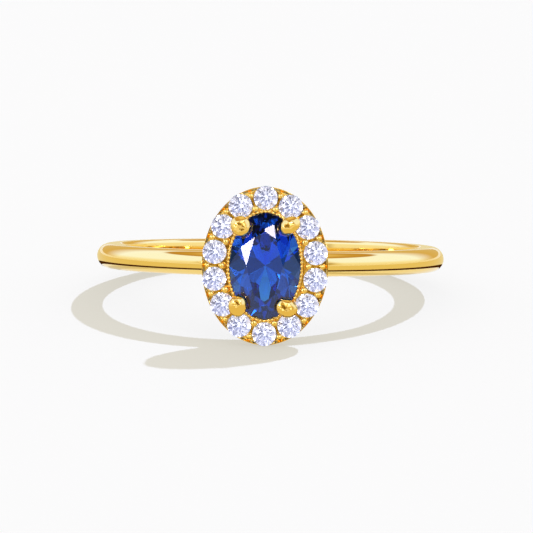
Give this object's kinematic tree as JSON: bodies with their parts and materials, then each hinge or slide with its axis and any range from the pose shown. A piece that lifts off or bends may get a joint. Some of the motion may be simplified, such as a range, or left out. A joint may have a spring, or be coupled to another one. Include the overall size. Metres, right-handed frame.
{
  "type": "engagement ring",
  "caption": "Finger ring with an oval blue centre stone held by claws inside a halo of small round white stones, on a plain half-round gold band",
  "frame": {"origin": "centre of the finger hole, midway along its length", "axes": "+Z along the finger axis; -Y from the finger to the centre stone's table; X across the stones, along their short axis"},
  "size_m": [0.02, 0.023, 0.0088],
  "materials": {
    "gold": "polished yellow gold",
    "sapphire": "faceted and polished blue sapphire",
    "white_stone": "faceted and polished colourless stone"
  },
  "bodies": {
    "root": {"shank": "gold", "base_rail": "gold", "seat_collar": "gold", "halo_frame": "gold", "centre_stone": "sapphire", "claw_upper_right": "gold", "claw_upper_left": "gold", "claw_lower_right": "gold", "claw_lower_left": "gold", "halo_stone_01": "white_stone", "halo_stone_02": "white_stone", "halo_stone_03": "white_stone", "halo_stone_04": "white_stone", "halo_stone_05": "white_stone", "halo_stone_06": "white_stone", "halo_stone_07": "white_stone", "halo_stone_08": "white_stone", "halo_stone_09": "white_stone", "halo_stone_10": "white_stone", "halo_stone_11": "white_stone", "halo_stone_12": "white_stone", "halo_stone_13": "white_stone", "halo_stone_14": "white_stone"}
  },
  "joints": []
}
